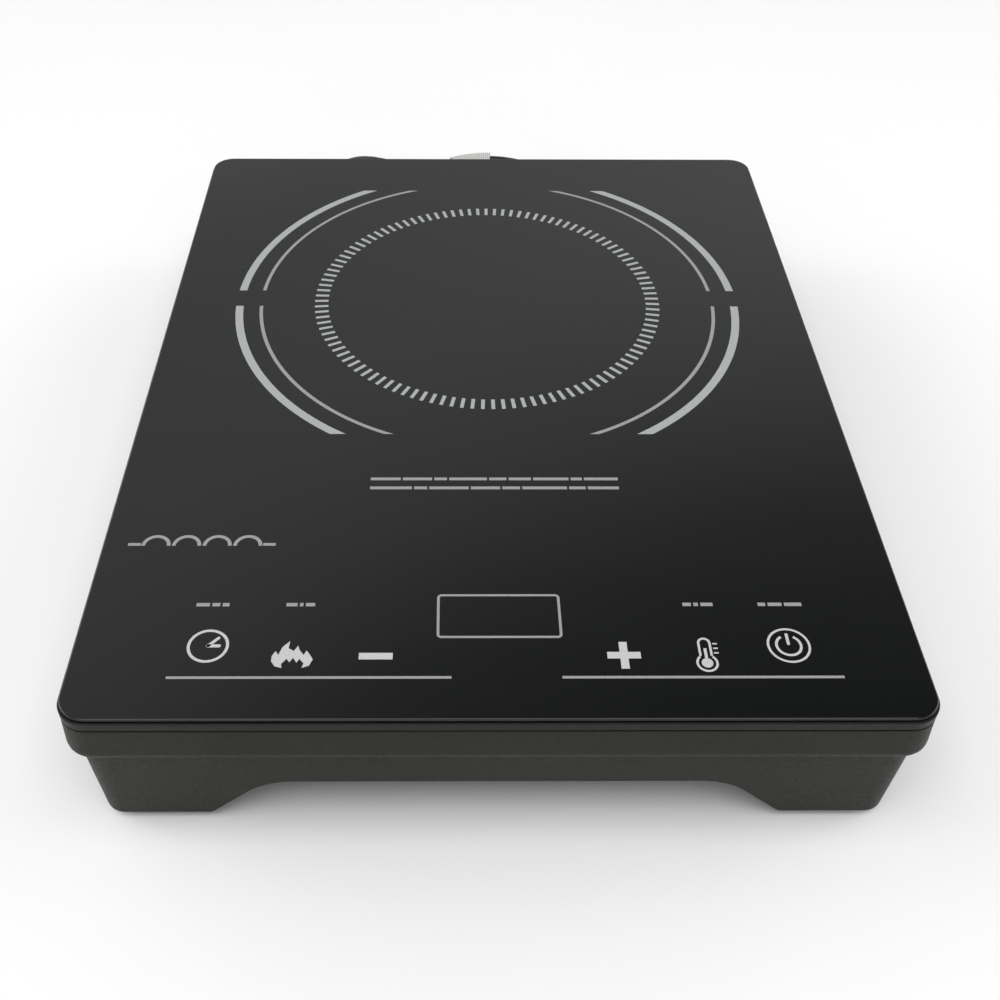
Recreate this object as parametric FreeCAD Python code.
"""Portable induction cooktop with one cooking zone, as separate pieces.

Millimetres. The origin is on the floor under the middle of the housing, +Z up, +Y towards the back.
"""
import FreeCAD, Part
import math
import os

from FreeCAD import Vector

os.makedirs("parts", exist_ok=True)

# Overall sizes
TOP_Z = 63.5  # top of the glass above the floor
GLASS = (279.4, 354.6, 9.4)  # width, depth, corner radius
GLASS_T = 4.0
GLASS_PROUD = 1.6  # how far the glass stands above the rim
RIM = (281.0, 356.2, 10.0)
RIM_BOTTOM = TOP_Z - 4.8
SEAM_BOTTOM = TOP_Z - 5.6
SEAM_INSET = 1.0
BAND = (282.8, 358.0, 10.2)
BAND_BOTTOM = TOP_Z - 22.1
BAND_ROUND = 4.7
SKIRT_TOP = (277.8, 353.0, 10.6)
SKIRT_FOOT = (273.6, 348.8, 7.6)
SKIRT_FOOT_Z = 3.0
FOOT_ROUND = 1.6
WALL = 2.5

# Arches between the corner feet
ARCH_TOP_Z = TOP_Z - 38.4
ARCH_HALF_X = 100.0  # half width of the front arch at its foot
ARCH_HALF_Y = 135.0
ARCH_TOP_ROUND = 22.0
ARCH_FOOT_ROUND = 8.0

# The tub that holds the works, and the shelf that joins it to the skirt
SHELF_Z = ARCH_TOP_Z + 0.5
SHELF_T = 2.5
TUB = (232.0, 306.0, 16.0)
TUB_FLOOR_Z = 12.0
TUB_FLOOR_T = 2.5
FLOOR = TUB_FLOOR_Z + TUB_FLOOR_T
SHELF = SHELF_Z + SHELF_T

# Top frame
LEDGE_T = 2.0
SEAL_T = 0.4
LEDGE_TOP = TOP_Z - GLASS_T - SEAL_T
LEDGE_W = 12.0
LIP_GAP = 0.1
TONGUE_BOTTOM = 50.0
GLASS_BOTTOM = TOP_Z - GLASS_T

# Fasteners
BOSS_R = 4.0
SCREW_R = 1.5
SCREW_HOLE_R = 1.55
HEAD_R = 3.2
HEAD_T = 2.2
SMALL_SCREW_R = 1.2
SMALL_HOLE_R = 1.25
HOUSING_SCREWS = [(x, y) for x in (-127.0, 127.0) for y in (-138.0, 0.0, 138.0)]

# Rubber feet
FOOT_AT = [(x, y) for x in (-116.0, 116.0) for y in (-154.0, 154.0)]
FOOT_PAD_R = 8.0
FOOT_PAD_T = 3.5
FOOT_STEM_R = 3.0
FOOT_STEM_H = 8.0
FOOT_BOSS_R = 9.0

# Cooking zone
ZONE = Vector(0.0, 50.0, 0.0)
WIRE_D = 4.0
WIRE_PITCH = 5.2
COIL_TURNS = 12
COIL_INNER_R = 23.0
COIL_Z = 56.2  # middle of the winding
MICA_T = 0.5
MICA_R = 94.0
CARRIER_R = 92.0
CARRIER_T = 2.6
CARRIER_HUB_R = 18.0
CARRIER_RIM_W = 3.0
CARRIER_ARM_W = 14.0
CARRIER_TOP = COIL_Z - WIRE_D / 2
CARRIER_BOTTOM = CARRIER_TOP - CARRIER_T
FERRITE = (54.0, 11.0, 5.0)
FERRITE_COUNT = 6
FERRITE_START_R = 26.0
COIL_POST_R = 99.0
COIL_POST_ANGLES = (60.0, 195.0, 300.0)

# Fan
FAN_AT = Vector(-62.0, 86.0, 0.0)
FAN_SIZE = 84.0
FAN_H = 24.0
FAN_Z = FLOOR + 0.5
FAN_BORE_R = 39.0
FAN_HUB_R = 17.0
FAN_TIP_R = 37.6
FAN_BLADES = 7
FAN_SHAFT_R = 1.5
FAN_RUN = 0.05  # running clearance on the shaft
FAN_SCREW_AT = 36.0

# Main board
BOARD = (112.0, 150.0, 1.6)
BOARD_AT = Vector(48.0, 48.0, 20.0)
BOARD_TOP = BOARD_AT.z + BOARD[2]

COIL_TERMINALS = [(94.0, 46.0), (94.0, 62.0)]
LUG_Z = BOARD_TOP + 8.0
SINK = (52.0, 50.0, 3.5)
SINK_AT = Vector(34.0, 83.0, BOARD_TOP + 6.0)
SINK_FINS = 11
SINK_FIN_T = 1.5
SINK_FIN_H = 14.0
CHOKE_AT = (76.0, 25.0)
CHOKE_R = 14.0
CHOKE_LOOPS = 14
CAN_AT = [(44.0, 20.0), (42.0, 5.0), (54.0, 5.0)]
TRANSFORMER_AT = (20.0, 20.0)
FAN_SOCKET_AT = (2.0, 8.0)
RESONANT = ((30.0, 14.0, 18.0), (84.0, 82.0))  # size, place
SMOOTHING = ((30.0, 16.0, 18.0), (84.0, 101.0))
FILTER = ((26.0, 12.0, 15.0), (80.0, 0.0))
VARISTOR_AT = (60.0, -12.0)
VARISTOR_R = 7.0
FUSE_AT = (80.0, -14.0)
TERMINAL = (24.0, 10.0, 12.0)
TERMINAL_AT = (16.0, 116.0)
AIR_GUIDE_AT = (-64.0, 32.0)
AIR_GUIDE_TOP = 38.0
WIRE_XS = (11.0, 21.0)
WIRE_R = 1.3
WIRE_HOLE_R = 1.35
WIRE_GAP = 1.8  # from the cord's middle to each wire, where they part

# Control board under the keys
CONTROL = (224.0, 36.0, 1.6)
CONTROL_AT = Vector(0.0, -146.0, 50.0)
CONTROL_TOP = CONTROL_AT.z + CONTROL[2]
KEY_POINTS = [
    (-95.5, -148.2), (-67.3, -152.2), (-40.1, -152.5),
    (41.2, -152.2), (68.1, -152.0), (96.1, -148.2),
]
LAMP_Y = -137.0  # a lamp behind each key that has a word
LAMP_KEYS = (0, 1, 4, 5)
SPRING_R = 4.0
SPRING_WIRE_R = 0.45
SPRING_TURNS = 4
SPRING_STEPS = 6  # runs in one turn
DISPLAY = (40.0, 17.0, 6.0)
DISPLAY_AT = (0.6, -135.5)
BUZZER_AT = (0.0, -154.5)
BUZZER_R = 5.5
RIBBON_X = 30.0
BRACKET_T = 1.8
BRACKET_Z = 45.0
BRACKET_SCREW_FRONT = (105.0, -163.0)
BRACKET_SCREW_BACK = (123.0, -119.0)

# Cord
CORD_D = 7.0
CORD_R = CORD_D / 2
CORD_EXIT = Vector(-80.0, 206.0, 33.5)
RELIEF_HOLE_R = 5.0
RELIEF_FLANGE_Y = 176.9  # outside face of the back wall at the cord's height
CLAMP_Y = 163.0
CLAMP_SCREW_X = 9.0
RELIEF_RINGS = 5
RELIEF_RING_PITCH = 3.6
TIE_SPREAD = 32.0  # degrees that the strap covers
TIE_T = 1.2
TIE_GAP = 0.1
TIE_TURN = 14.0  # degrees round the ring from its far side
RING_AT = Vector(6.0, 228.0, 1.3)
RING_COLUMNS = 3
RING_ROWS = 2
RING_MID_R = 5.0 * CORD_D
CORD_LEAD_POINTS = [
    CORD_EXIT,
    Vector(-80.0, 220.0, 32.2),
    Vector(-76.0, 235.0, 29.0),
    Vector(-66.5, 249.5, 23.0),
    Vector(-52.5, 258.8, 15.0),
    Vector(-36.3, 261.6, 7.5),
    Vector(-19.5, 262.8, 4.9),
]
CORD_TAIL_POINTS = [
    Vector(35.7, 257.7, 11.8),
    Vector(47.0, 246.6, 10.0),
    Vector(62.0, 239.5, 8.6),
    Vector(79.0, 238.0, 9.0),
]
PLUG = (34.0, 24.0, 18.0)
PLUG_AT = Vector(79.0, 238.0, 9.0)
PLUG_SECTIONS = [(0.0, 0.42), (0.12, 0.5), (0.42, 0.84), (0.78, 0.92), (0.8, 1.0), (1.0, 1.0)]
BLADE = (17.0, 1.5, 6.4)
BLADE_SPACING = 12.7
GROUND_PIN_R = 2.4


def rounded(size, z, grow=0.0):
    """A closed wire: a rectangle with round corners, larger by grow on every side."""
    w, d, r = size
    x = w / 2 + grow
    y = d / 2 + grow
    r = max(r + grow, 0.5)
    k = r * (1 - math.sqrt(0.5))
    corners = [(x, y, 1, 1), (-x, y, -1, 1), (-x, -y, -1, -1), (x, -y, 1, -1)]
    arcs = []
    for index, (cx, cy, sx, sy) in enumerate(corners):
        along_x = Vector(cx - sx * r, cy, z)
        along_y = Vector(cx, cy - sy * r, z)
        middle = Vector(cx - sx * k, cy - sy * k, z)
        first, last = (along_y, along_x) if index % 2 == 0 else (along_x, along_y)
        arcs.append((first, middle, last))
    edges = []
    for index, (first, middle, last) in enumerate(arcs):
        following = arcs[(index + 1) % 4][0]
        edges.append(Part.Arc(first, middle, last).toShape())
        edges.append(Part.LineSegment(last, following).toShape())
    return Part.Wire(edges)


def slab(size, low, high, grow=0.0):
    """A rounded rectangle extruded from low to high."""
    face = Part.Face(rounded(size, low, grow))
    return face.extrude(Vector(0, 0, high - low))


def draft(lower, low, upper, high, grow=0.0):
    """A solid between two rounded rectangles of different size."""
    wires = [rounded(lower, low, grow), rounded(upper, high, grow)]
    return Part.makeLoft(wires, True, True)


def block(size, base):
    """A box whose base is centred on the point given."""
    corner = Vector(base.x - size[0] / 2, base.y - size[1] / 2, base.z)
    return Part.makeBox(size[0], size[1], size[2], corner)


def rod(radius, low, high, x, y):
    """An upright cylinder."""
    return Part.makeCylinder(radius, high - low, Vector(x, y, low))


def lying(radius, front, back, x, z):
    """A cylinder that lies along Y."""
    return Part.makeCylinder(radius, back - front, Vector(x, front, z), Vector(0, 1, 0))


def tube(outer, inner, low, high, x, y):
    """An upright tube."""
    return rod(outer, low, high, x, y).cut(rod(inner, low - 1, high + 1, x, y))


def soften(shape, radius, keep):
    """Rounds the edges for which keep(edge) is true."""
    edges = [edge for edge in shape.Edges if keep(edge)]
    return shape.makeFillet(radius, edges)


def upright(edge):
    """True for an edge that runs straight up."""
    span = edge.BoundBox
    return span.ZLength > 1e-3 and span.XLength < 1e-3 and span.YLength < 1e-3


def level_at(z):
    """A test for edges that lie flat at one height."""
    return lambda edge: edge.BoundBox.ZLength < 1e-3 and abs(edge.BoundBox.ZMin - z) < 1e-3


def join(shapes):
    """Fuses a list of shapes into one."""
    whole = shapes[0]
    if len(shapes) > 1:
        whole = whole.fuse(shapes[1:])
    return whole.removeSplitter()


def write(name, shapes):
    """Writes one node, made of one shape or of several separate ones."""
    shape = Part.makeCompound(shapes) if isinstance(shapes, list) else shapes
    for solid in shape.Solids:
        if not solid.isValid() or solid.Volume <= 0:
            raise ValueError(name + " has a bad solid")
    shape.exportStep("parts/" + name + ".step")
    print(name, len(shape.Solids), round(shape.Volume))


# Casing

def glass_top():
    """The ceramic glass plate, with a small polished edge."""
    low = TOP_Z - GLASS_T
    plate = slab(GLASS, low, TOP_Z)
    return soften(plate, 0.5, level_at(TOP_Z))


def glass_seal():
    """The silicone bead between the glass and its ledge."""
    return slab(GLASS, LEDGE_TOP, GLASS_BOTTOM, -1.5).cut(slab(GLASS, LEDGE_TOP - 1, TOP_Z, -8.5))


def boss_column(x, y, low, high):
    """A screw boss with its pilot hole."""
    return tube(BOSS_R, SCREW_HOLE_R, low, high, x, y)


def top_frame():
    """The rim around the glass, its ledge, the tongue inside the band and the screw bosses."""
    rim = slab(RIM, RIM_BOTTOM, TOP_Z - GLASS_PROUD)
    rim = soften(rim, 0.3, level_at(TOP_Z - GLASS_PROUD))
    neck = slab(RIM, SEAM_BOTTOM, RIM_BOTTOM, -SEAM_INSET)
    tongue = slab(RIM, TONGUE_BOTTOM, SEAM_BOTTOM, -WALL - 0.6)
    frame = join([rim, neck, tongue])
    frame = frame.cut(slab(GLASS, LEDGE_TOP, TOP_Z, LIP_GAP))
    frame = frame.cut(slab(RIM, TONGUE_BOTTOM - 1, LEDGE_TOP - LEDGE_T, -WALL - 2.6))
    frame = frame.cut(slab(RIM, TONGUE_BOTTOM - 1, TOP_Z, -LEDGE_W))
    bosses = [boss_column(x, y, SHELF, LEDGE_TOP - LEDGE_T + 0.5) for x, y in HOUSING_SCREWS]
    frame = join([frame] + bosses)
    for x, y in HOUSING_SCREWS:
        frame = frame.cut(rod(SCREW_HOLE_R, SHELF - 1, SHELF + 16, x, y))
    return frame


def arch(half, low_z):
    """The side view of the gap between two feet, as a face in the XZ plane."""
    rise = ARCH_TOP_Z - low_z
    corner = half - rise
    slope = math.sqrt(0.5)
    sin_half = math.sin(math.radians(22.5))
    cos_half = math.cos(math.radians(22.5))
    cut_top = ARCH_TOP_ROUND * sin_half / cos_half
    cut_foot = ARCH_FOOT_ROUND * sin_half / cos_half
    bulge_top = ARCH_TOP_ROUND * (1 / cos_half - 1)
    bulge_foot = ARCH_FOOT_ROUND * (1 / cos_half - 1)
    right = [
        Vector(corner - cut_top, 0, ARCH_TOP_Z),
        Vector(corner - bulge_top * sin_half, 0, ARCH_TOP_Z - bulge_top * cos_half),
        Vector(corner + cut_top * slope, 0, ARCH_TOP_Z - cut_top * slope),
        Vector(half - cut_foot * slope, 0, low_z + cut_foot * slope),
        Vector(half + bulge_foot * sin_half, 0, low_z + bulge_foot * cos_half),
        Vector(half + cut_foot, 0, low_z),
    ]
    left = [Vector(-p.x, 0, p.z) for p in right]
    below_right = Vector(half + cut_foot, 0, low_z - 10)
    below_left = Vector(-below_right.x, 0, low_z - 10)
    edges = [
        Part.Arc(right[0], right[1], right[2]).toShape(),
        Part.LineSegment(right[2], right[3]).toShape(),
        Part.Arc(right[3], right[4], right[5]).toShape(),
        Part.LineSegment(right[5], below_right).toShape(),
        Part.LineSegment(below_right, below_left).toShape(),
        Part.LineSegment(below_left, left[5]).toShape(),
        Part.Arc(left[5], left[4], left[3]).toShape(),
        Part.LineSegment(left[3], left[2]).toShape(),
        Part.Arc(left[2], left[1], left[0]).toShape(),
        Part.LineSegment(left[0], right[0]).toShape(),
    ]
    return Part.Face(Part.Wire(edges))


def arches():
    """The four cutters, one for each side of the skirt."""
    reach = 30.0
    front = arch(ARCH_HALF_X, SKIRT_FOOT_Z)
    side = arch(ARCH_HALF_Y, SKIRT_FOOT_Z)
    cutters = []
    for sign in (-1, 1):
        y = sign * (SKIRT_TOP[1] / 2 - reach / 2)
        cutter = front.extrude(Vector(0, reach, 0))
        cutter.translate(Vector(0, y - reach / 2 + sign * 4, 0))
        cutters.append(cutter)
        x = sign * (SKIRT_TOP[0] / 2 - reach / 2)
        cutter = side.extrude(Vector(0, reach, 0))
        cutter.rotate(Vector(0, 0, 0), Vector(0, 0, 1), 90)
        cutter.translate(Vector(x + reach / 2 + sign * 4, 0, 0))
        cutters.append(cutter)
    return cutters


def outer_skin():
    """The band and the skirt as one solid block."""
    band = draft(BAND, BAND_BOTTOM, RIM, SEAM_BOTTOM)
    band = soften(band, BAND_ROUND, level_at(BAND_BOTTOM))
    band = soften(band, 0.4, level_at(SEAM_BOTTOM))
    skirt = draft(SKIRT_FOOT, SKIRT_FOOT_Z, SKIRT_TOP, BAND_BOTTOM + 4)
    skirt = soften(skirt, FOOT_ROUND, level_at(SKIRT_FOOT_Z))
    return band.fuse(skirt)


def vent_slots(x_low, x_high, z_low, z_high, side):
    """Upright slots through the back wall (side 0) or through the right or left wall (side 1 or -1)."""
    pitch = 6.5
    width = 3.0
    count = int((x_high - x_low) / pitch) + 1
    slots = []
    for index in range(count):
        at = x_low + index * pitch
        if side == 0:
            slots.append(block((width, 16, z_high - z_low), Vector(at, SKIRT_TOP[1] / 2 - 3, z_low)))
        else:
            middle = Vector(side * (SKIRT_TOP[0] / 2 - 3), at, z_low)
            slots.append(block((16, width, z_high - z_low), middle))
    return slots


def intake_slots():
    """Curved slots through the floor under the fan, in rings."""
    slots = []
    for ring in range(4):
        inner = 10.0 + ring * 7.5
        arc_ring = tube(inner + 3.5, inner, TUB_FLOOR_Z - 1, FLOOR + 1, FAN_AT.x, FAN_AT.y)
        for turn in (0, 90):
            bar = block((100, 4.0, 20), Vector(FAN_AT.x, FAN_AT.y, 0))
            bar.rotate(FAN_AT, Vector(0, 0, 1), turn + 45)
            arc_ring = arc_ring.cut(bar)
        slots += arc_ring.Solids
    return slots


def floor_posts():
    """The posts that rise from the tub's floor: fan, board and coil carrier."""
    fan = [tube(3.4, SMALL_HOLE_R, FLOOR - 0.5, FAN_Z, x, y) for x, y in fan_screw_places()]
    board = [tube(3.2, SMALL_HOLE_R, FLOOR - 0.5, BOARD_AT.z, x, y) for x, y in board_screw_places()]
    coil = [tube(BOSS_R, SCREW_HOLE_R, FLOOR - 0.5, CARRIER_BOTTOM, x, y) for x, y in coil_post_places()]
    return fan + board + coil


def shelf_posts():
    """The posts on the shelf that carry the control bracket and the cord clamp."""
    bracket = [tube(3.4, SMALL_HOLE_R, SHELF - 0.5, BRACKET_Z, x, y) for x, y in bracket_screw_places()]
    clamp = [tube(3.0, SMALL_HOLE_R, SHELF - 0.5, CORD_EXIT.z, x, y) for x, y in clamp_screw_places()]
    return bracket + clamp


def bottom_housing():
    """The band, the skirt with its four arches, the shelf, the tub, and the posts, in one moulding."""
    body = outer_skin()
    inside_band = draft(BAND, BAND_BOTTOM + 2, RIM, SEAM_BOTTOM + 1, -WALL)
    inside_skirt = draft(SKIRT_FOOT, SKIRT_FOOT_Z - 1, SKIRT_TOP, BAND_BOTTOM + 4, -WALL)
    body = body.cut(inside_band.fuse(inside_skirt))
    shelf = slab(SKIRT_TOP, SHELF_Z, SHELF, -WALL + 0.2).cut(slab(TUB, SHELF_Z - 1, SHELF + 1, -WALL))
    tub = slab(TUB, TUB_FLOOR_Z, SHELF).cut(slab(TUB, FLOOR, SHELF + 1, -WALL))
    tub = soften(tub, 2.0, level_at(TUB_FLOOR_Z))
    shelf = shelf.common(draft(SKIRT_FOOT, SKIRT_FOOT_Z, SKIRT_TOP, BAND_BOTTOM + 4, -1.0))
    foot_bosses = [rod(FOOT_BOSS_R, FOOT_PAD_T, SHELF_Z + 0.5, x, y) for x, y in FOOT_AT]
    body = body.cut(Part.makeCompound(arches()))
    body = body.fuse([shelf, tub] + foot_bosses + floor_posts() + shelf_posts())
    holes = [rod(SCREW_HOLE_R, SHELF_Z - 1, SHELF + 1, x, y) for x, y in HOUSING_SCREWS]
    holes += [rod(FOOT_STEM_R, FOOT_PAD_T - 1, FOOT_PAD_T + FOOT_STEM_H + 0.2, x, y) for x, y in FOOT_AT]
    holes += intake_slots()
    holes += vent_slots(-50.0, 110.0, SHELF + 2.5, BAND_BOTTOM - 0.8, 0)
    holes += vent_slots(60.0, 130.0, SHELF + 2.5, BAND_BOTTOM - 0.8, -1)
    holes += vent_slots(60.0, 130.0, SHELF + 2.5, BAND_BOTTOM - 0.8, 1)
    holes.append(lying(RELIEF_HOLE_R, SKIRT_TOP[1] / 2 - 14, SKIRT_TOP[1] / 2 + 6, CORD_EXIT.x, CORD_EXIT.z))
    return body.cut(Part.makeCompound(holes)).removeSplitter()


def rubber_feet():
    """Four rubber pads, each with a stem pushed up into its boss."""
    feet = []
    for x, y in FOOT_AT:
        pad = soften(rod(FOOT_PAD_R, 0, FOOT_PAD_T, x, y), 0.8, level_at(0))
        stem = rod(FOOT_STEM_R - 0.05, FOOT_PAD_T - 0.5, FOOT_PAD_T + FOOT_STEM_H, x, y)
        feet.append(pad.fuse(stem))
    return feet


def screw(x, y, seat, length, up=True, radius=SCREW_R, head=HEAD_R, thick=HEAD_T):
    """A pan-head screw. Its head bears on seat, and its shank runs up, or down, from there."""
    if up:
        top = soften(rod(head, seat - thick, seat, x, y), 0.8, level_at(seat - thick))
        slot = block((head * 1.2, 0.8, 1.0), Vector(x, y, seat - thick - 0.1))
        cross = block((0.8, head * 1.2, 1.0), Vector(x, y, seat - thick - 0.1))
        shank = rod(radius, seat - 0.5, seat + length, x, y)
    else:
        top = soften(rod(head, seat, seat + thick, x, y), 0.8, level_at(seat + thick))
        slot = block((head * 1.2, 0.8, 1.0), Vector(x, y, seat + thick - 0.9))
        cross = block((0.8, head * 1.2, 1.0), Vector(x, y, seat + thick - 0.9))
        shank = rod(radius, seat - length, seat + 0.5, x, y)
    return top.cut(slot).cut(cross).fuse(shank)


def housing_screws():
    """The screws that go up through the shelf into the top frame."""
    return [screw(x, y, SHELF_Z, 16.0) for x, y in HOUSING_SCREWS]


# Places that several pieces share

def fan_screw_places():
    """The corners of the fan's frame."""
    a = FAN_SCREW_AT
    return [(FAN_AT.x + sx * a, FAN_AT.y + sy * a) for sx in (-1, 1) for sy in (-1, 1)]


def board_screw_places():
    """The corners of the main board."""
    x = BOARD[0] / 2 - 5
    y = BOARD[1] / 2 - 5
    return [(BOARD_AT.x + sx * x, BOARD_AT.y + sy * y) for sx in (-1, 1) for sy in (-1, 1)]


def coil_post_places():
    """The three posts that hold the coil carrier."""
    places = []
    for angle in COIL_POST_ANGLES:
        a = math.radians(angle)
        places.append((ZONE.x + COIL_POST_R * math.cos(a), ZONE.y + COIL_POST_R * math.sin(a)))
    return places


def clamp_screw_places():
    """The two sides of the cord clamp."""
    return [(CORD_EXIT.x + sign * CLAMP_SCREW_X, CLAMP_Y) for sign in (-1, 1)]


def bracket_screw_places():
    """The ends of the control bracket."""
    front = BRACKET_SCREW_FRONT
    back = BRACKET_SCREW_BACK
    return [(sign * x, y) for sign in (-1, 1) for x, y in (front, back)]


# Cooking zone

def mica_sheet():
    """The insulating disc under the glass."""
    return tube(MICA_R, 7.0, GLASS_BOTTOM - MICA_T, GLASS_BOTTOM, ZONE.x, ZONE.y)


def coil_winding():
    """A flat spiral of litz wire, made of half turns whose centres alternate."""
    halves = []
    step = WIRE_PITCH / 2
    for index in range(2 * COIL_TURNS):
        radius = COIL_INNER_R + index * step
        side = 1 if index % 2 == 0 else -1
        centre = Vector(ZONE.x - side * step / 2, ZONE.y, COIL_Z)
        start = centre + Vector(radius, 0, 0)
        circle = Part.makeCircle(WIRE_D / 2, start, Vector(0, 1, 0))
        face = Part.Face(Part.Wire(circle))
        first = 0 if side == 1 else 180
        half = face.revolve(centre, Vector(0, 0, 1), 180)
        half.rotate(centre, Vector(0, 0, 1), first)
        halves.append(half)
    return halves[0].fuse(halves[1:])


def coil_carrier():
    """The plastic wheel under the winding: hub, arms, rim and three screw tabs."""
    low = CARRIER_BOTTOM
    rim = tube(CARRIER_R, CARRIER_R - CARRIER_RIM_W, low, CARRIER_TOP, ZONE.x, ZONE.y)
    hub = tube(CARRIER_HUB_R, CARRIER_HUB_R - 9, low, CARRIER_TOP, ZONE.x, ZONE.y)
    pieces = [rim, hub]
    for index in range(FERRITE_COUNT):
        middle = Vector(ZONE.x + CARRIER_R / 2 + 4, ZONE.y, low)
        arm = block((CARRIER_R - 12, CARRIER_ARM_W, CARRIER_T), middle)
        arm.rotate(ZONE, Vector(0, 0, 1), index * 360.0 / FERRITE_COUNT)
        pieces.append(arm)
    for angle in COIL_POST_ANGLES:
        tab = block((16.0, 13.0, CARRIER_T), Vector(ZONE.x + COIL_POST_R - 2.0, ZONE.y, low))
        tab.rotate(ZONE, Vector(0, 0, 1), angle)
        pieces.append(tab.cut(rod(CARRIER_R - CARRIER_RIM_W, low - 1, CARRIER_TOP + 1, ZONE.x, ZONE.y)))
    carrier = pieces[0].fuse(pieces[1:])
    for x, y in coil_post_places():
        carrier = carrier.cut(rod(SCREW_HOLE_R, low - 1, CARRIER_TOP + 1, x, y))
    return carrier.removeSplitter()


def ferrite_bars():
    """Bars glued under the carrier's arms."""
    bars = []
    for index in range(FERRITE_COUNT):
        middle = ZONE.x + FERRITE_START_R + FERRITE[0] / 2
        bar = block(FERRITE, Vector(middle, ZONE.y, CARRIER_BOTTOM - FERRITE[2]))
        bar = soften(bar, 0.8, upright)
        bar.rotate(ZONE, Vector(0, 0, 1), index * 360.0 / FERRITE_COUNT)
        bars.append(bar)
    return bars


def coil_screws():
    """The screws that hold the carrier on its posts."""
    return [screw(x, y, CARRIER_TOP, 12.0, up=False) for x, y in coil_post_places()]


def glass_sensor():
    """The temperature sensor that touches the mica in the middle of the zone."""
    cup = rod(4.5, GLASS_BOTTOM - MICA_T - 4.0, GLASS_BOTTOM - MICA_T, ZONE.x, ZONE.y)
    stem = rod(2.0, CARRIER_TOP - 8.0, GLASS_BOTTOM - MICA_T - 3.5, ZONE.x, ZONE.y)
    return soften(cup, 0.6, level_at(GLASS_BOTTOM - MICA_T)).fuse(stem)


def sensor_holder():
    """The bridge across the hub that holds the sensor's stem."""
    bar = block((2 * CARRIER_HUB_R - 2, 8.0, 1.5), Vector(ZONE.x, ZONE.y, CARRIER_BOTTOM - 1.5))
    collar = rod(5.0, CARRIER_BOTTOM - 3.0, CARRIER_BOTTOM + 1.0, ZONE.x, ZONE.y)
    return bar.fuse(collar).cut(rod(2.05, 0, TOP_Z, ZONE.x, ZONE.y)).removeSplitter()


# Bent round wires: straight runs joined by tangent arcs

def path_of(points, radii):
    """A wire of straight runs joined by tangent arcs of the radii given."""
    edges = []
    last = points[0]
    for index in range(1, len(points) - 1):
        before = (points[index - 1] - points[index]).normalize()
        after = (points[index + 1] - points[index]).normalize()
        turn = math.pi - before.getAngle(after)
        cut = radii[index - 1] * math.tan(turn / 2)
        start = points[index] + before * cut
        end = points[index] + after * cut
        inward = (before + after).normalize()
        bulge = radii[index - 1] * (1 / math.cos(turn / 2) - 1)
        edges.append(Part.LineSegment(last, start).toShape())
        edges.append(Part.Arc(start, points[index] + inward * bulge, end).toShape())
        last = end
    edges.append(Part.LineSegment(last, points[-1]).toShape())
    return Part.Wire(edges)


def soft_radii(points):
    """The arc at each inner point: 0.45 of the shorter run over the tangent of half the turn."""
    radii = []
    for index in range(1, len(points) - 1):
        before = points[index - 1] - points[index]
        after = points[index + 1] - points[index]
        turn = math.pi - before.getAngle(after)
        radii.append(0.45 * min(before.Length, after.Length) / math.tan(turn / 2))
    return radii


def bent(points, radius, radii):
    """A round bar along the path."""
    path = path_of(points, radii)
    section = Part.Wire(Part.makeCircle(radius, points[0], points[1] - points[0]))
    solid = path.makePipeShell([section], True, False)
    expected = math.pi * radius ** 2 * path.Length
    if abs(solid.Volume / expected - 1) > 0.01:
        raise ValueError("a bent bar has the wrong volume")
    return solid


def wire_run(points, radius, bend):
    """An inner lead with the same bend everywhere."""
    return bent(points, radius, [bend] * (len(points) - 2))


# Fan

def fan_frame():
    """The square frame with its round duct, the spokes and the motor cup."""
    x, y = FAN_AT.x, FAN_AT.y
    frame = soften(block((FAN_SIZE, FAN_SIZE, FAN_H), Vector(x, y, FAN_Z)), 5.0, upright)
    frame = frame.cut(rod(FAN_BORE_R, FAN_Z - 1, FAN_Z + FAN_H + 1, x, y))
    cup = tube(FAN_HUB_R - 1, FAN_SHAFT_R + 1.5, FAN_Z + FAN_H - 2, FAN_Z + FAN_H, x, y)
    tower = tube(FAN_SHAFT_R + 3.0, FAN_SHAFT_R + 1.5, FAN_Z + FAN_H - 14, FAN_Z + FAN_H, x, y)
    pieces = [cup, tower]
    for angle in (45, 135, 225, 315):
        spoke = block((FAN_BORE_R - 8, 4.0, 2.0), Vector(x + FAN_BORE_R / 2 + 6, y, FAN_Z + FAN_H - 2))
        spoke.rotate(FAN_AT, Vector(0, 0, 1), angle)
        pieces.append(spoke)
    frame = frame.fuse(pieces)
    for sx, sy in fan_screw_places():
        frame = frame.cut(rod(SCREW_HOLE_R + 0.2, FAN_Z - 1, FAN_Z + FAN_H + 1, sx, sy))
    return frame.removeSplitter()


def fan_bearing():
    """The sleeve bearing inside the frame's tower."""
    outer = FAN_SHAFT_R + 1.5
    return tube(outer, FAN_SHAFT_R + FAN_RUN, FAN_Z + FAN_H - 13, FAN_Z + FAN_H - 1, FAN_AT.x, FAN_AT.y)


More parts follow.
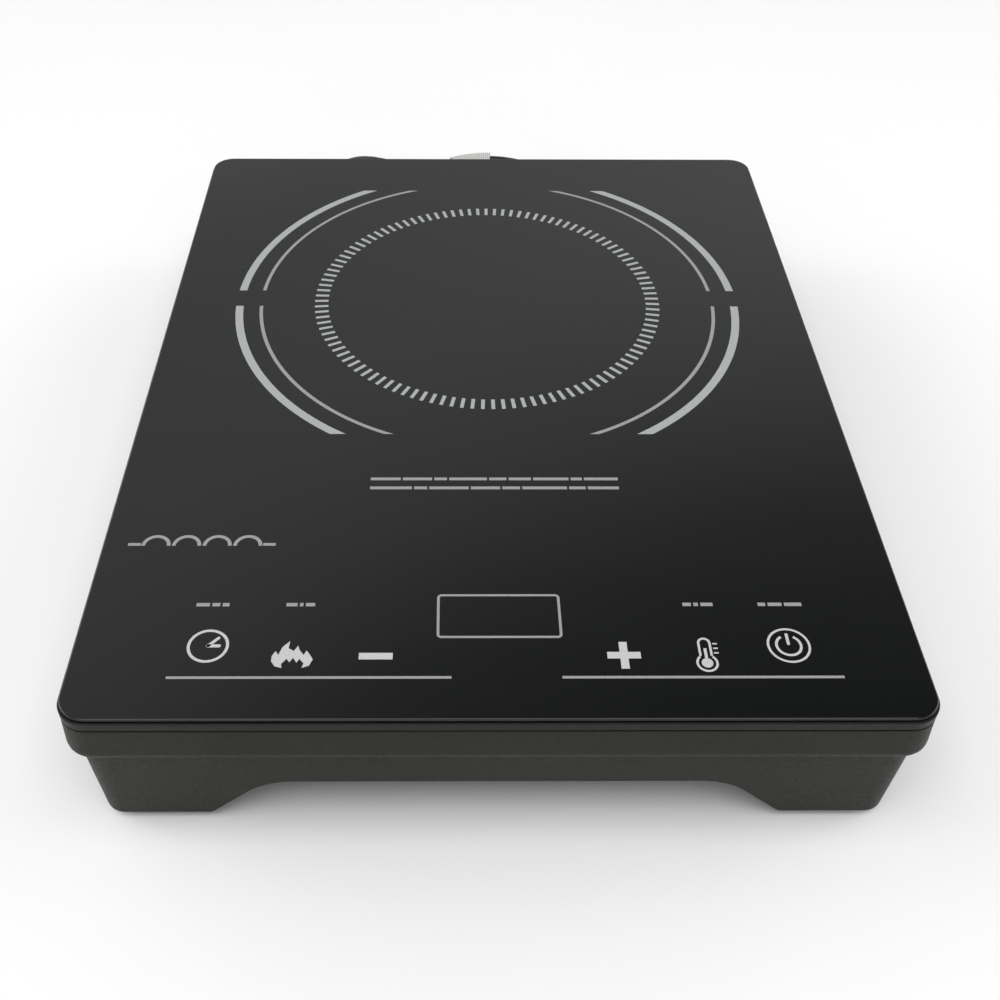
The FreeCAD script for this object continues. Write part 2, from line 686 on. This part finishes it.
def fan_stator():
    """The laminated core with four wound poles, on the tower."""
    low = FAN_Z + FAN_H - 11
    high = FAN_Z + FAN_H - 4
    core = tube(6.6, FAN_SHAFT_R + 3.0, low, high, FAN_AT.x, FAN_AT.y)
    poles = []
    for angle in range(0, 360, 90):
        arm = block((7.0, 4.0, high - low), Vector(FAN_AT.x + 8.5, FAN_AT.y, low))
        arm.rotate(FAN_AT, Vector(0, 0, 1), angle)
        poles.append(arm)
    shoe = tube(13.0, 11.5, low, high, FAN_AT.x, FAN_AT.y)
    for angle in (45, 135):
        gap = block((40, 4, 40), Vector(FAN_AT.x, FAN_AT.y, 0))
        gap.rotate(FAN_AT, Vector(0, 0, 1), angle)
        shoe = shoe.cut(gap)
    return core.fuse(poles + shoe.Solids).removeSplitter()


def fan_impeller():
    """The hub cup with its blades, open towards the frame's motor cup."""
    x, y = FAN_AT.x, FAN_AT.y
    low = FAN_Z + 2.0
    high = FAN_Z + FAN_H - 3.5
    hub = rod(FAN_HUB_R, low, high, x, y).cut(rod(FAN_HUB_R - 2, low + 2.5, high + 1, x, y))
    hub = soften(hub, 1.5, level_at(low))
    hub = hub.cut(rod(FAN_SHAFT_R, low - 1, low + 4, x, y))
    blades = []
    for index in range(FAN_BLADES):
        blade = fan_blade(low + 2.0, high - 2.0)
        blade.rotate(FAN_AT, Vector(0, 0, 1), index * 360.0 / FAN_BLADES)
        blades.append(blade)
    return hub.fuse(blades).removeSplitter()


def fan_blade(low, high):
    """One blade: a plate that leans along the turn, trimmed to the hub and the tip."""
    thick = 1.2
    lean = 12.0
    x0 = FAN_AT.x + FAN_HUB_R - 1.0
    x1 = FAN_AT.x + FAN_TIP_R + 3.0
    y = FAN_AT.y
    points = [Vector(x0, y - lean, low), Vector(x0, y - lean + 2 * thick, low)]
    points += [Vector(x0, y + lean, high), Vector(x0, y + lean - 2 * thick, high), points[0]]
    plate = Part.Face(Part.makePolygon(points)).extrude(Vector(x1 - x0, 0, 0))
    ring = tube(FAN_TIP_R, FAN_HUB_R - 0.8, low, high, FAN_AT.x, FAN_AT.y)
    return plate.common(ring)


def fan_shaft():
    """The steel shaft pressed into the hub."""
    return rod(FAN_SHAFT_R, FAN_Z + 2.5, FAN_Z + FAN_H - 1.5, FAN_AT.x, FAN_AT.y)


def fan_screws():
    """The screws that hold the fan on its posts."""
    seat = FAN_Z + FAN_H
    places = fan_screw_places()
    return [screw(x, y, seat, FAN_H + 0.2, up=False, radius=SMALL_SCREW_R, head=3.0) for x, y in places]


def fan_lead():
    """The two-core lead from the fan to the main board."""
    z = FAN_Z + FAN_H + 1.4
    points = [
        Vector(FAN_AT.x + 3.0, FAN_AT.y - 10.0, z),
        Vector(FAN_AT.x + 10.0, FAN_AT.y - 48.0, z),
        Vector(-12.0, 20.0, z),
        Vector(2.0, 14.0, BOARD_TOP + 8.5),
    ]
    return wire_run(points, 1.0, 6.0)


def air_guide():
    """The plastic wall that steers the fan's air across the heat sink."""
    x, y = AIR_GUIDE_AT
    wall = block((76.0, 1.6, AIR_GUIDE_TOP - FLOOR), Vector(x, y, FLOOR))
    foot = block((76.0, 8.0, 1.6), Vector(x, y + 3.5, FLOOR))
    return wall.fuse(foot).removeSplitter()


# Coil leads

def coil_leads():
    """The winding's two ends, led down to the board."""
    inner_x = ZONE.x - WIRE_PITCH / 4 + COIL_INNER_R
    outer_x = ZONE.x + WIRE_PITCH / 4 + COIL_INNER_R + (2 * COIL_TURNS - 1) * WIRE_PITCH / 2
    inner = [
        Vector(inner_x, ZONE.y, COIL_Z),
        Vector(19.0, ZONE.y - 10.5, COIL_Z),
        Vector(19.5, ZONE.y - 11.5, 45.0),
        Vector(84.0, 37.0, 41.5),
        Vector(COIL_TERMINALS[0][0], COIL_TERMINALS[0][1], LUG_Z + 1.5),
    ]
    outer = [
        Vector(outer_x, ZONE.y, COIL_Z),
        Vector(outer_x, ZONE.y + 14.0, COIL_Z),
        Vector(86.5, 68.0, 44.0),
        Vector(COIL_TERMINALS[1][0], COIL_TERMINALS[1][1], LUG_Z + 1.5),
    ]
    return [wire_run(inner, WIRE_D / 2, 5.0), wire_run(outer, WIRE_D / 2, 5.0)]


def coil_terminals():
    """Two brass posts on the board."""
    posts = []
    for x, y in COIL_TERMINALS:
        base = block((9.0, 9.0, 2.0), Vector(x, y, BOARD_TOP))
        posts.append(base.fuse(rod(3.0, BOARD_TOP, LUG_Z, x, y)).removeSplitter())
    return posts


# Main board

def main_board():
    """The glass-fibre board, with its corner holes."""
    board = soften(block(BOARD, BOARD_AT), 2.0, upright)
    for x, y in board_screw_places():
        board = board.cut(rod(SCREW_HOLE_R, BOARD_AT.z - 1, BOARD_TOP + 1, x, y))
    return board


def board_screws():
    """The screws in the board's corners."""
    places = board_screw_places()
    return [screw(x, y, BOARD_TOP, 5.5, up=False, radius=SMALL_SCREW_R, head=2.8) for x, y in places]


def heat_sink():
    """An extruded aluminium block with upright fins along the air's way."""
    width, depth, base = SINK
    sink = block((width, depth, base), SINK_AT)
    fins = []
    pitch = (width - SINK_FIN_T) / (SINK_FINS - 1)
    for index in range(SINK_FINS):
        x = SINK_AT.x - width / 2 + SINK_FIN_T / 2 + index * pitch
        foot = Vector(x, SINK_AT.y, SINK_AT.z + base - 0.5)
        fins.append(block((SINK_FIN_T, depth, SINK_FIN_H + 0.5), foot))
    legs = []
    for sign in (-1, 1):
        foot = Vector(SINK_AT.x + sign * (width / 2 - 3), SINK_AT.y, BOARD_TOP)
        legs.append(block((5.0, 5.0, SINK_AT.z - BOARD_TOP), foot))
    return sink.fuse(fins + legs).removeSplitter()


def flat_package(size, at, leg_count, leg_pitch):
    """A power semiconductor that lies against the heat sink, with bent legs in front."""
    body = soften(block(size, at), 0.5, upright)
    legs = []
    for index in range(leg_count):
        x = at.x + (index - (leg_count - 1) / 2) * leg_pitch
        y = at.y - size[1] / 2
        out = block((1.2, 4.0, 0.6), Vector(x, y - 1.5, at.z + size[2] / 2))
        down = block((1.2, 0.6, at.z + size[2] / 2 + 0.3 - BOARD_TOP), Vector(x, y - 3.3, BOARD_TOP))
        legs.append(out.fuse(down))
    return body.fuse(legs).removeSplitter()


def power_transistor():
    """The switching transistor."""
    return flat_package((16.0, 20.0, 4.8), Vector(SINK_AT.x - 11.0, SINK_AT.y - 8.0, SINK_AT.z - 4.8), 3, 5.4)


def bridge_rectifier():
    """The mains rectifier."""
    return flat_package((20.0, 16.0, 4.4), Vector(SINK_AT.x + 8.0, SINK_AT.y + 12.0, SINK_AT.z - 4.4), 4, 5.0)


def film_capacitor(size, at):
    """A film capacitor: a rounded box on two short legs."""
    x, y = at
    body = soften(block(size, Vector(x, y, BOARD_TOP + 0.6)), 1.0, upright)
    legs = [rod(0.5, BOARD_TOP, BOARD_TOP + 0.8, x + sign * size[0] * 0.4, y) for sign in (-1, 1)]
    return body.fuse(legs)


def choke_core():
    """The ferrite ring of the mains choke."""
    x, y = CHOKE_AT
    return tube(CHOKE_R, CHOKE_R - 6, BOARD_TOP + 2.5, BOARD_TOP + 12.5, x, y)


def choke_winding():
    """Square loops of copper around the ring."""
    x, y = CHOKE_AT
    low = BOARD_TOP + 2.5
    high = BOARD_TOP + 12.5
    loops = []
    for index in range(CHOKE_LOOPS):
        outer = block((9.6, 2.0, high - low + 3.6), Vector(x + CHOKE_R - 3, y, low - 1.8))
        inner = block((6.2, 4.0, high - low + 0.2), Vector(x + CHOKE_R - 3, y, low - 0.1))
        loop = outer.cut(inner)
        loop.rotate(Vector(x, y, 0), Vector(0, 0, 1), index * 360.0 / CHOKE_LOOPS)
        loops.append(loop)
    return loops


def transformer():
    """The small supply transformer: a core with its bobbin."""
    at = Vector(TRANSFORMER_AT[0], TRANSFORMER_AT[1], BOARD_TOP)
    core = block((22.0, 14.0, 16.0), at)
    bobbin = soften(block((16.0, 20.0, 13.0), Vector(at.x, at.y, at.z + 1.5)), 2.0, upright)
    return core.fuse(bobbin).removeSplitter()


def electrolytic_capacitors():
    """Three upright cans with a rolled groove."""
    cans = []
    for x, y in CAN_AT:
        can = soften(rod(5.0, BOARD_TOP, BOARD_TOP + 16.0, x, y), 0.6, level_at(BOARD_TOP + 16.0))
        cans.append(can.cut(tube(6.0, 4.6, BOARD_TOP + 2.0, BOARD_TOP + 3.0, x, y)))
    return cans


def fuse():
    """The glass fuse with its end caps, in two clips."""
    x, y = FUSE_AT
    z = BOARD_TOP + 4.0
    left = x - 10.0
    glass = Part.makeCylinder(2.5, 20.0, Vector(left, y, z), Vector(1, 0, 0))
    caps = [Part.makeCylinder(2.9, 5.0, Vector(left + start, y, z), Vector(1, 0, 0)) for start in (0.0, 15.0)]
    clips = [block((4.0, 4.0, 4.0), Vector(x + sign * 7.5, y, BOARD_TOP)) for sign in (-1, 1)]
    return glass.fuse(caps + clips).removeSplitter()


def varistor():
    """The surge-absorbing disc."""
    x, y = VARISTOR_AT
    z = BOARD_TOP + VARISTOR_R + 1.5
    disc = Part.makeCylinder(VARISTOR_R, 4.0, Vector(x - 2.0, y, z), Vector(1, 0, 0))
    disc = soften(disc, 1.2, lambda edge: edge.Length > 10)
    legs = [rod(0.5, BOARD_TOP, z - 5.0, x, y + sign * VARISTOR_R / 2) for sign in (-1, 1)]
    return disc.fuse(legs)


def terminal_block():
    """Where the mains wires are screwed down."""
    body = soften(block(TERMINAL, Vector(TERMINAL_AT[0], TERMINAL_AT[1], BOARD_TOP)), 0.8, upright)
    top = BOARD_TOP + TERMINAL[2]
    for x in WIRE_XS:
        body = body.cut(rod(2.0, top - 4.0, top + 1.0, x, TERMINAL_AT[1]))
        body = body.cut(lying(WIRE_HOLE_R, TERMINAL_AT[1], TERMINAL_AT[1] + 6.0, x, BOARD_TOP + 4.5))
    return body


def mains_wires():
    """Two insulated wires from the cord to the terminal block."""
    wires = []
    for index, x in enumerate(WIRE_XS):
        start = Vector(CORD_EXIT.x + WIRE_GAP * (2 * index - 1), CLAMP_Y - 5.0, CORD_EXIT.z)
        points = [
            start,
            start + Vector(0.0, -6.0, 0.0),
            start + Vector(6.0, -22.0 + 6.0 * index, 0.0),
            Vector(-30.0, 134.0 + 5.0 * index, 33.0),
            Vector(x, 132.0 + 5.0 * index, BOARD_TOP + 4.5),
            Vector(x, TERMINAL_AT[1] + 2.0, BOARD_TOP + 4.5),
        ]
        wires.append(wire_run(points, WIRE_R, 4.0))
    return wires


# Controls

def control_bracket():
    """The tray under the control board, with its ears and standoffs."""
    x, y = CONTROL_AT.x, CONTROL_AT.y
    plate = soften(block((226.0, 41.0, BRACKET_T), Vector(x, y - 0.5, BRACKET_Z)), 2.0, upright)
    ear_y = BRACKET_SCREW_BACK[1] - 1.5
    ears = [block((26.0, 11.0, BRACKET_T), Vector(sign * 116.0, ear_y, BRACKET_Z)) for sign in (-1, 1)]
    links = [block((16.0, 14.0, BRACKET_T), Vector(sign * 105.0, ear_y - 3.5, BRACKET_Z)) for sign in (-1, 1)]
    stand_z = BRACKET_Z + BRACKET_T - 0.5
    stands = [tube(3.0, SMALL_HOLE_R, stand_z, CONTROL_AT.z, px, py) for px, py in control_screw_places()]
    bracket = plate.fuse(ears + links + stands)
    for px, py in bracket_screw_places():
        bracket = bracket.cut(rod(SCREW_HOLE_R, BRACKET_Z - 1, BRACKET_Z + BRACKET_T + 1, px, py))
    for px, py in control_screw_places():
        bracket = bracket.cut(rod(SMALL_HOLE_R, BRACKET_Z - 1, CONTROL_AT.z + 1, px, py))
    return bracket.removeSplitter()


def control_screw_places():
    """The four screws of the control board."""
    return [(sign * x, y) for sign in (-1, 1) for x, y in ((106.0, -133.0), (80.0, -160.0))]


def bracket_screws():
    """The screws that hold the bracket on the shelf's posts."""
    seat = BRACKET_Z + BRACKET_T
    places = bracket_screw_places()
    return [screw(x, y, seat, 9.0, up=False, radius=SMALL_SCREW_R, head=3.0) for x, y in places]


def control_board():
    """The board that senses the keys."""
    board = soften(block(CONTROL, CONTROL_AT), 1.5, upright)
    for x, y in control_screw_places():
        board = board.cut(rod(SCREW_HOLE_R, CONTROL_AT.z - 1, CONTROL_TOP + 1, x, y))
    return board


def control_screws():
    """The screws that hold the control board."""
    places = control_screw_places()
    return [screw(x, y, CONTROL_TOP, 4.5, up=False, radius=SMALL_SCREW_R, head=2.6) for x, y in places]


def touch_springs():
    """One coiled contact spring for each key, from the board to the glass."""
    low = CONTROL_TOP + SPRING_WIRE_R + 0.05
    high = GLASS_BOTTOM - SPRING_WIRE_R - 0.05
    count = SPRING_TURNS * SPRING_STEPS
    springs = []
    for x, y in KEY_POINTS:
        points = []
        for index in range(count + 1):
            angle = 2 * math.pi * index / SPRING_STEPS
            z = low + (high - low) * index / count
            points.append(Vector(x + SPRING_R * math.cos(angle), y + SPRING_R * math.sin(angle), z))
        springs.append(bent(points, SPRING_WIRE_R, soft_radii(points)))
    return springs


def display_module():
    """The digit display behind its window."""
    body = block(DISPLAY, Vector(DISPLAY_AT[0], DISPLAY_AT[1], CONTROL_TOP))
    return soften(body, 0.5, upright)


def indicator_lamps():
    """One small lamp behind each key that has a word."""
    lamps = []
    for key in LAMP_KEYS:
        lamp = rod(1.5, CONTROL_TOP, CONTROL_TOP + 3.0, KEY_POINTS[key][0], LAMP_Y)
        lamps.append(soften(lamp, 1.2, level_at(CONTROL_TOP + 3.0)))
    return lamps


def buzzer():
    """The round sounder, with its hole in the top."""
    x, y = BUZZER_AT
    top = CONTROL_TOP + 5.5
    body = soften(rod(BUZZER_R, CONTROL_TOP, top, x, y), 0.5, level_at(top))
    return body.cut(rod(1.0, top - 1.5, top + 0.5, x, y))


def ribbon_connectors():
    """The sockets at the ribbon's two ends, and the fan's socket."""
    upper = block((18.0, 5.0, 4.5), Vector(RIBBON_X, -131.0, CONTROL_TOP))
    lower = block((18.0, 6.0, 7.0), Vector(RIBBON_X, -18.0, BOARD_TOP))
    fan = block((7.0, 6.0, 6.5), Vector(FAN_SOCKET_AT[0], FAN_SOCKET_AT[1], BOARD_TOP))
    return [upper, lower, fan]


def ribbon_cable():
    """The flat cable between the two boards."""
    z = CONTROL_TOP + 2.5
    low = BOARD_TOP + 4.0
    points = [
        Vector(RIBBON_X, -128.5, z),
        Vector(RIBBON_X, -116.0, z),
        Vector(RIBBON_X, -100.0, 34.0),
        Vector(RIBBON_X, -40.0, 24.0),
        Vector(RIBBON_X, -21.0, low),
    ]
    path = path_of(points, [5.0, 8.0, 8.0])
    signs = ((-1, -1), (1, -1), (1, 1), (-1, 1))
    corners = [Vector(RIBBON_X + sx * 7.5, points[0].y, z + sz * 0.4) for sx, sz in signs]
    section = Part.makePolygon(corners + corners[:1])
    return path.makePipeShell([section], True, False)


# Cord

def cord_clamp():
    """The saddle that holds the cord on its two posts."""
    saddle = block((26.0, 7.0, 6.0), Vector(CORD_EXIT.x, CLAMP_Y, CORD_EXIT.z))
    saddle = soften(saddle, 1.0, level_at(CORD_EXIT.z + 6.0))
    saddle = saddle.cut(lying(CORD_R + 0.02, CLAMP_Y - 6, CLAMP_Y + 6, CORD_EXIT.x, CORD_EXIT.z))
    for x, y in clamp_screw_places():
        saddle = saddle.cut(rod(SCREW_HOLE_R, CORD_EXIT.z - 1, CORD_EXIT.z + 8, x, y))
    return saddle


def clamp_screws():
    """The clamp's two screws."""
    places = clamp_screw_places()
    seat = CORD_EXIT.z + 6.0
    return [screw(x, y, seat, 10.0, up=False, radius=SMALL_SCREW_R, head=2.6, thick=1.8) for x, y in places]


def strain_relief():
    """The tapered rubber sleeve in the back wall, with the cord's end inside the housing."""
    x, z = CORD_EXIT.x, CORD_EXIT.z
    y = RELIEF_FLANGE_Y
    inside = lying(CORD_R, CLAMP_Y - 5.0, y - 3.0, x, z)
    ridge = lying(RELIEF_HOLE_R + 0.2, y - 6.6, y - 4.1, x, z)
    neck = lying(RELIEF_HOLE_R - 0.05, y - 6.6, y + 1.0, x, z)
    flange = lying(RELIEF_HOLE_R + 2.0, y, y + 2.4, x, z)
    long = CORD_EXIT.y - y - 1
    taper = Part.makeCone(RELIEF_HOLE_R + 0.9, CORD_R + 0.6, long, Vector(x, y + 1, z), Vector(0, 1, 0))
    sleeve = inside.fuse([ridge, neck, flange, taper])
    for index in range(RELIEF_RINGS):
        at = y + 6.0 + index * RELIEF_RING_PITCH
        outer = lying(RELIEF_HOLE_R + 3.0, at, at + 1.2, x, z)
        inner = lying(CORD_R + 0.9, at - 1, at + 2.2, x, z)
        sleeve = sleeve.cut(outer.cut(inner))
    return sleeve.removeSplitter()


def cord_run(points, name):
    """A free stretch of the cord, with the radii that its route gives."""
    radii = soft_radii(points)
    print(name, "radii", [round(radius) for radius in radii])
    return bent(points, CORD_R, radii)


def cord_lead():
    """From the strain relief down to the ring of turns."""
    return cord_run(CORD_LEAD_POINTS, "cord_lead")


def cord_tail():
    """From the ring of turns to the plug."""
    return cord_run(CORD_TAIL_POINTS, "cord_tail")


def cord_ring():
    """The outer shape of the tied turns, lifted by the strap that runs under them."""
    half = RING_COLUMNS * CORD_D / 2
    high = RING_ROWS * CORD_D
    ring = tube(RING_MID_R + half, RING_MID_R - half, RING_AT.z, RING_AT.z + high, RING_AT.x, RING_AT.y)
    return soften(ring, CORD_R - 0.3, lambda edge: edge.BoundBox.ZLength < 1e-3)


def ring_cover(grow, low, high):
    """A round sleeve that stands grow clear of the tied turns on both sides."""
    half = RING_COLUMNS * CORD_D / 2 + grow
    sleeve = tube(RING_MID_R + half, RING_MID_R - half, low, high, RING_AT.x, RING_AT.y)
    return soften(sleeve, CORD_R - 0.3, lambda edge: edge.BoundBox.ZLength < 1e-3)


def cord_tie():
    """The flat strap round the turns, on the side away from the housing."""
    high = RING_ROWS * CORD_D + RING_AT.z
    strap = ring_cover(TIE_GAP + TIE_T, 0.0, high + TIE_GAP + TIE_T)
    strap = strap.cut(ring_cover(TIE_GAP, TIE_T, high + TIE_GAP))
    reach = RING_MID_R * 2
    sector = [RING_AT]
    for side in (-1, 1):
        angle = math.radians(90.0 + TIE_TURN + side * TIE_SPREAD / 2)
        sector.append(RING_AT + Vector(reach * math.cos(angle), reach * math.sin(angle), 0))
    wedge = Part.Face(Part.makePolygon(sector + sector[:1])).extrude(Vector(0, 0, 40))
    wedge.translate(Vector(0, 0, -10))
    return strap.common(wedge)


def plug_body():
    """The moulded plug: a grip that narrows towards the cord."""
    length, width, height = PLUG
    wires = []
    for along, shrink in PLUG_SECTIONS:
        w = width * shrink
        h = height * shrink
        face = rounded((w, h, min(w, h) * 0.28), 0)
        face.rotate(Vector(0, 0, 0), Vector(0, 0, 1), 90)
        face.rotate(Vector(0, 0, 0), Vector(0, 1, 0), 90)
        face.translate(PLUG_AT + Vector(along * length, 0, 0))
        wires.append(face)
    return Part.makeLoft(wires, True, True)


def plug_blades():
    """Two flat blades and a round pin."""
    x = PLUG_AT.x + PLUG[0]
    blades = []
    for sign in (-1, 1):
        blade = Part.makeBox(BLADE[0], BLADE[1], BLADE[2])
        y = PLUG_AT.y + sign * BLADE_SPACING / 2 - BLADE[1] / 2
        blade.translate(Vector(x, y, PLUG_AT.z + 0.5))
        eye = Vector(x + BLADE[0] - 4.0, y - 1, PLUG_AT.z + 0.5 + BLADE[2] / 2)
        hole = Part.makeCylinder(1.5, BLADE[1] + 2, eye, Vector(0, 1, 0))
        blades.append(blade.cut(hole))
    root = Vector(x, PLUG_AT.y, PLUG_AT.z - 4.5)
    pin = Part.makeCylinder(GROUND_PIN_R, BLADE[0] + 2, root, Vector(1, 0, 0))
    return blades + [pin]


NODES = {
    "glass_top": glass_top,
    "glass_seal": glass_seal,
    "top_frame": top_frame,
    "bottom_housing": bottom_housing,
    "rubber_feet": rubber_feet,
    "housing_screws": housing_screws,
    "mica_sheet": mica_sheet,
    "coil_winding": coil_winding,
    "coil_carrier": coil_carrier,
    "ferrite_bars": ferrite_bars,
    "coil_screws": coil_screws,
    "coil_leads": coil_leads,
    "coil_terminals": coil_terminals,
    "glass_sensor": glass_sensor,
    "sensor_holder": sensor_holder,
    "fan_frame": fan_frame,
    "fan_bearing": fan_bearing,
    "fan_stator": fan_stator,
    "fan_impeller": fan_impeller,
    "fan_shaft": fan_shaft,
    "fan_screws": fan_screws,
    "fan_lead": fan_lead,
    "air_guide": air_guide,
    "main_board": main_board,
    "board_screws": board_screws,
    "heat_sink": heat_sink,
    "power_transistor": power_transistor,
    "bridge_rectifier": bridge_rectifier,
    "resonant_capacitor": lambda: film_capacitor(*RESONANT),
    "smoothing_capacitor": lambda: film_capacitor(*SMOOTHING),
    "filter_capacitor": lambda: film_capacitor(*FILTER),
    "choke_core": choke_core,
    "choke_winding": choke_winding,
    "transformer": transformer,
    "electrolytic_capacitors": electrolytic_capacitors,
    "fuse": fuse,
    "varistor": varistor,
    "terminal_block": terminal_block,
    "mains_wires": mains_wires,
    "control_bracket": control_bracket,
    "bracket_screws": bracket_screws,
    "control_board": control_board,
    "control_screws": control_screws,
    "touch_springs": touch_springs,
    "display_module": display_module,
    "indicator_lamps": indicator_lamps,
    "buzzer": buzzer,
    "ribbon_connectors": ribbon_connectors,
    "ribbon_cable": ribbon_cable,
    "cord_clamp": cord_clamp,
    "clamp_screws": clamp_screws,
    "strain_relief": strain_relief,
    "cord_lead": cord_lead,
    "cord_ring": cord_ring,
    "cord_tail": cord_tail,
    "cord_tie": cord_tie,
    "plug_body": plug_body,
    "plug_blades": plug_blades,
}

for node, make in NODES.items():
    write(node, make())
